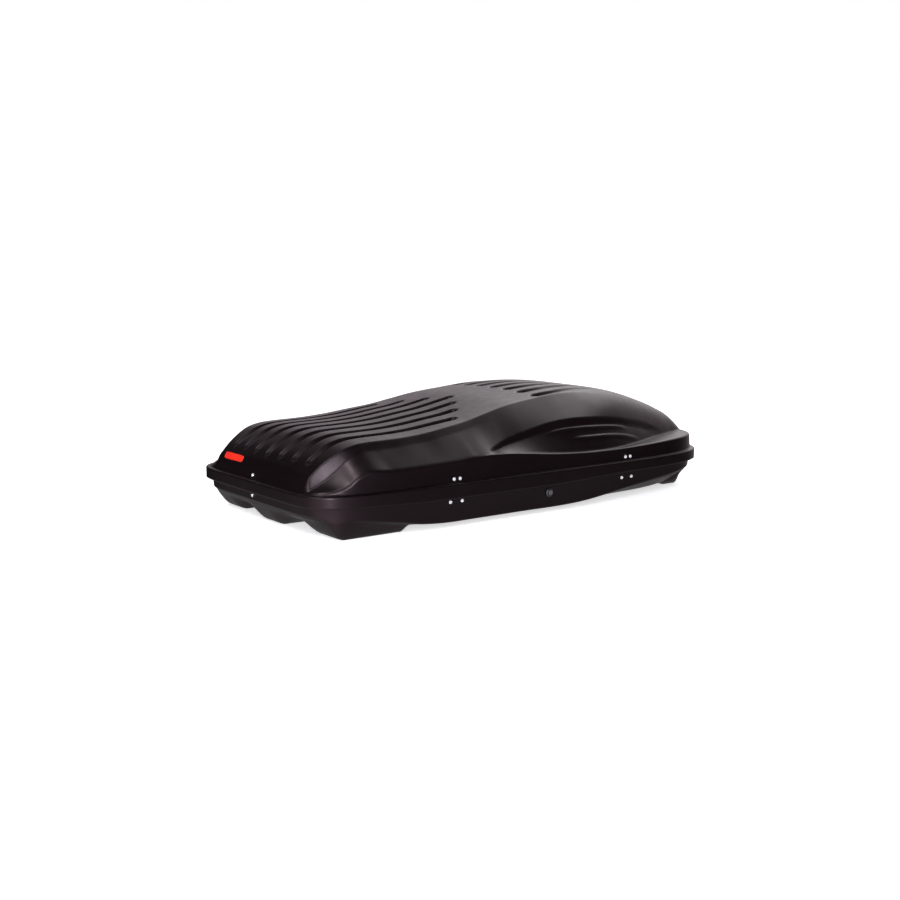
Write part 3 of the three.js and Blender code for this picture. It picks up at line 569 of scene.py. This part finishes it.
def screws():
    """Pan-head screws with a six-lobed recess, in place of the plain CAD ones."""
    for node in sorted(frame["nodes"]):
        if "_screw_" not in node:
            continue
        low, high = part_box(node)
        middle = (low + high) / 2
        axis, front, length = (0, -1, 0), Vector((middle.x, low.y, middle.z)), (high - low).y
        if node == "base_screw_nose":
            axis, front, length = (-1, 0, 0), Vector((low.x, middle.y, middle.z)), (high - low).x
        if node == "lid_screw_nose":   # square to the sloping nose
            axis, front = (-math.cos(NOSE_LEAN), 0, math.sin(NOSE_LEAN)), Vector(NOSE_SCREW_TOP)
        shank = ((SHANK_RADIUS, -length, 0), (SHANK_RADIUS, HEAD_BACK, 0))
        piece = lathe(node + "_head", shank + SCREW_HEAD + SCREW_RECESS, front, axis)
        dress(piece, "bright_steel", node_body(node), node)


def badge_place():
    """The middle of the CAD's badge, and the slope that it lies on."""
    corners = np.array([vertex.co for vertex in frame["nodes"]["nose_badge"].data.vertices])
    low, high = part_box("nose_badge")
    top = corners[corners[:, 2] > high.z - 1e-4].mean(axis=0)
    bottom = corners[corners[:, 2] < low.z + 1e-4].mean(axis=0)
    uphill = Vector(top - bottom)
    return corners.mean(axis=0), math.atan2(uphill.z, uphill.x)


def reflector():
    """A plain ribbed reflector with a raised border, laid along the slope of the nose."""
    middle, slope = badge_place()
    half_wide, half_long, thickness = .0118, .0645, .0020
    border, rib = .0006, .0003   # how high the border and the ribs stand
    across, steps = 24, 128
    points, faces = [], []
    for i in range(steps + 1):
        for j in range(across + 1):
            u, v = (2 * i / steps - 1), (2 * j / across - 1)
            norm = (abs(u) ** 9 + abs(v) ** 6) ** (1 / 8) if (u or v) else 1
            scale = min(1, max(abs(u), abs(v)) / max(norm, 1e-6))
            y, x = u * scale * half_long, v * scale * half_wide
            edge = min(1 - abs(u), (1 - abs(v)) * half_wide / half_long)
            height = rib * abs(math.sin(i * math.pi / 4)) if edge > .05 else border
            height *= min(1, edge / .015)
            points.append((x, y, thickness / 2 - border + height))
    count = len(points)
    points += [(x, y, -thickness / 2) for x, y, _ in points]
    row = across + 1
    for i in range(steps):
        for j in range(across):
            a, b, c, d = i * row + j, i * row + j + 1, (i + 1) * row + j + 1, (i + 1) * row + j
            faces += [[a, b, c, d], [d + count, c + count, b + count, a + count]]
    rim = ([(i, 0) for i in range(steps)] + [(steps, j) for j in range(across)]
           + [(i, across) for i in range(steps, 0, -1)] + [(0, j) for j in range(across, 0, -1)])
    for (i, j), (k, m) in zip(rim, rim[1:] + rim[:1]):
        a, b = i * row + j, k * row + m
        faces.append([a, b, b + count, a + count])
    mesh = bpy.data.meshes.new("nose_reflector")
    mesh.from_pydata(points, [], faces)
    mesh.transform(Matrix.Translation(middle) @ Matrix.Rotation(-slope, 4, "Y"))
    piece = finished_object("nose_reflector", mesh, 25)
    fix_normals(piece)
    dress(piece, "red_plastic", "lid", "nose_badge")


def fix_normals(piece):
    shape = bmesh.new()
    shape.from_mesh(piece.data)
    bmesh.ops.recalc_face_normals(shape, faces=shape.faces)
    shape.to_mesh(piece.data)
    shape.free()


def strap(place):
    """A length of webbing over the rails, with rolled edges, a slight sag and a little drift."""
    node = f"load_strap_{place}"
    low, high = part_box(node)
    middle, half_wide = (low.x + high.x) / 2, (high.x - low.x) / 2
    thickness, around, steps = .0016, 24, 180
    end, flat = high.y, .235   # the strap's end, and where it leaves the rail's top
    low_z, top_z = low.z + thickness / 2 + .0002, high.z - thickness / 2 - .0002
    section = []
    for k in range(around):
        angle = 2 * math.pi * k / around
        across = math.copysign(abs(math.cos(angle)) ** .25, math.cos(angle)) * (half_wide - .0002)
        through = math.copysign(abs(math.sin(angle)) ** .8, math.sin(angle)) * thickness / 2
        section.append((across, through))
    points, faces = [], []
    for i in range(steps + 1):
        y = -end + 2 * end * i / steps
        drop = min(1, max(0, (abs(y) - flat) / (end - flat)))
        z = top_z + (low_z - top_z) * drop - .0004 * math.sin(y * 46) ** 2
        drift = .0003 * math.sin(y * 31)
        for across, through in section:
            points.append((middle + across * .985 + drift, y, z + through * .9))
    for i in range(steps):
        for k in range(around):
            a, b = i * around + k, i * around + (k + 1) % around
            faces.append([a, a + around, b + around, b])
    faces.append(list(range(around)))
    faces.append(list(range(steps * around, len(points)))[::-1])
    mesh = bpy.data.meshes.new(f"load_strap_{place}_webbing")
    mesh.from_pydata(points, [], faces)
    piece = finished_object(f"load_strap_{place}_webbing", mesh, 50)
    fix_normals(piece)
    dress(piece, "webbing", node_body(node), node)


SOFTENED = {   # start of the node's name: (material slot, radius of its edges)
    "lock_cylinder": ("zinc_steel", .0005), "lock_housing": ("inner_plastic", .0006),
    "lock_nut": ("zinc_steel", .0005), "lock_cam": ("zinc_steel", .0004), "lock_rod": ("zinc_steel", .0005),
    "cam_screw": ("bright_steel", .0003), "striker": ("zinc_steel", .0006),
    "latch_housing": ("inner_plastic", .0008), "nose_tongue": ("inner_plastic", .0006),
    "nose_pocket": ("inner_plastic", .0006), "hinge_base_leaf": ("black_steel", .0003),
    "hinge_lid_leaf": ("black_steel", .0003), "hinge_pin": ("bright_steel", .0003),
    "stay_base_bracket": ("zinc_steel", .0005), "stay_tube": ("black_steel", .0005),
    "stay_rod": ("bright_steel", .0004), "stay_lid_bracket": ("zinc_steel", .0005),
    "floor_rail": ("zinc_steel", .0005), "strap_buckle": ("inner_plastic", .0010),
    "strap_anchor": ("zinc_steel", .0006),
}

lid_shell()
base_shell()
screws()
reflector()
for place in ("front", "rear"):
    strap(place)
for node in sorted(frame["nodes"]):
    for start, (slot, width) in SOFTENED.items():
        if node.startswith(start):
            softened(node, slot, width)


# ---- Studio ----
GLOW = 1.5    # how bright the whole room is to everything but the camera
PALE = 1.0    # the backdrop that the camera sees, as bright as the floor in front of it
GLOW_FROM = (.75, .55, .37)
# The room's light by direction: 0 is low behind the camera, 1 is toward GLOW_FROM.
ROOM = ((.04, 1.0), (.12, .45), (.25, .24), (.47, .20), (.515, .03), (.785, .01), (.84, .07),
        (.88, .15), (.955, .50), (.978, .62), (.989, .92))
WARM_BELOW = .97                                # place in ROOM up to which its light is tinted most
FLOOR_GLOW = ((-.24, 0), (-.34, .18))           # (height of a direction, the light that it adds)
CAMERA_AT, CAMERA_AIM, CAMERA_LENS = (-2.749, -3.607, .867), (-.080, 0, .177), 49.48
NOSE_CORNER = (-.86, -.3, .18)


def floor():
    shape = bmesh.new()
    bmesh.ops.create_circle(shape, cap_ends=True, segments=96, radius=60)
    mesh = bpy.data.meshes.new("studio_floor")
    shape.to_mesh(mesh)
    shape.free()
    piece = bpy.data.objects.new("studio_floor", mesh)
    bpy.context.scene.collection.objects.link(piece)
    finish = Finish("studio_floor", Specular_IOR_Level=.1, Roughness=.9, Emission_Color=(1, 1, 1, 1),
                    Emission_Strength=.60)
    finish.tint(finish.noise(.4, 2), (.90, .90, .90), (.93, .93, .93))
    piece.data.materials.append(finish.material)
    piece.location.z = -.0005
    piece.visible_glossy = False


def world():
    """A pale backdrop for the camera. What the plastic mirrors is a broad glow above and behind the box,
    a fainter one low behind the camera, a little light from below, and dark between them."""
    studio = bpy.data.worlds.new("studio")
    bpy.context.scene.world = studio
    studio.use_nodes = True
    nodes, links = studio.node_tree.nodes, studio.node_tree.links
    background = nodes["Background"]
    direction = nodes.new("ShaderNodeTexCoord").outputs["Generated"]
    toward = nodes.new("ShaderNodeVectorMath")
    toward.operation = "DOT_PRODUCT"
    toward.inputs[1].default_value = GLOW_FROM
    links.new(direction, toward.inputs[0])
    rescale = nodes.new("ShaderNodeMapRange")
    rescale.inputs["From Min"].default_value = -1
    links.new(toward.outputs["Value"], rescale.inputs["Value"])
    ramp = nodes.new("ShaderNodeValToRGB")
    elements = ramp.color_ramp.elements
    steps = [elements[0], elements[1]] + [elements.new(.5) for _ in ROOM[2:]]
    for (position, glow), element in zip(ROOM, steps):
        element.position = position
        green = .86 if position < WARM_BELOW else .95
        element.color = (glow, glow * green, glow * (1 + green) / 2, 1)
    links.new(rescale.outputs["Result"], ramp.inputs["Fac"])
    seen = nodes.new("ShaderNodeLightPath").outputs["Is Camera Ray"]
    height = nodes.new("ShaderNodeSeparateXYZ")
    links.new(direction, height.inputs["Vector"])
    from_below = nodes.new("ShaderNodeMapRange")
    for end, (start, added) in zip(("Min", "Max"), FLOOR_GLOW):
        from_below.inputs["From " + end].default_value = start
        from_below.inputs["To " + end].default_value = added
    links.new(height.outputs["Z"], from_below.inputs["Value"])
    together = nodes.new("ShaderNodeVectorMath")   # adds, as it does unless told otherwise
    links.new(ramp.outputs["Color"], together.inputs[0])
    links.new(from_below.outputs["Result"], together.inputs[1])
    strength = nodes.new("ShaderNodeMapRange")
    strength.inputs["To Min"].default_value = GLOW
    links.new(seen, strength.inputs["Value"])
    links.new(strength.outputs["Result"], background.inputs["Strength"])
    choose = nodes.new("ShaderNodeMix")
    choose.data_type = "RGBA"
    links.new(seen, choose.inputs["Factor"])
    links.new(together.outputs["Vector"], choose.inputs["A"])
    choose.inputs["B"].default_value = (PALE, PALE, PALE, 1)
    links.new(choose.outputs["Result"], background.inputs["Color"])


def aimed(thing, position, aim):
    thing.location = position
    thing.rotation_euler = (Vector(aim) - Vector(position)).to_track_quat("-Z", "Y").to_euler()
    bpy.context.scene.collection.objects.link(thing)
    return thing


def lamp(name, kind, position, aim, energy, **settings):
    data = bpy.data.lights.new(name, kind)
    data.energy = energy
    for key, value in settings.items():
        setattr(data, key, value)
    light = aimed(bpy.data.objects.new(name, data), position, aim)
    light.visible_camera = False


def camera():
    data = bpy.data.cameras.new("camera")
    data.lens, data.sensor_width = CAMERA_LENS, 36
    bpy.context.scene.camera = aimed(bpy.data.objects.new("camera", data), CAMERA_AT, CAMERA_AIM)


camera()
floor()
world()
lamp("key", "SUN", (-.37, .12, .92), (0, 0, 0), .9, angle=math.radians(9))
lamp("overhead", "AREA", (1.95, .75, 2.0), (1.95, .75, 0), 34, shape="RECTANGLE", size=1.9, size_y=2.4)
lamp("strip", "AREA", (-3.38, -4.26, 2.5), (-.85, -.42, 2.5), 420, shape="RECTANGLE", size=1.0,
     size_y=5.0, color=(.92, .95, 1.0))
lamp("corner", "AREA", (-2.9, -.45, 2.34), NOSE_CORNER, 20, shape="RECTANGLE", size=.5, size_y=.5)
bpy.context.scene.view_settings.view_transform = "Standard"
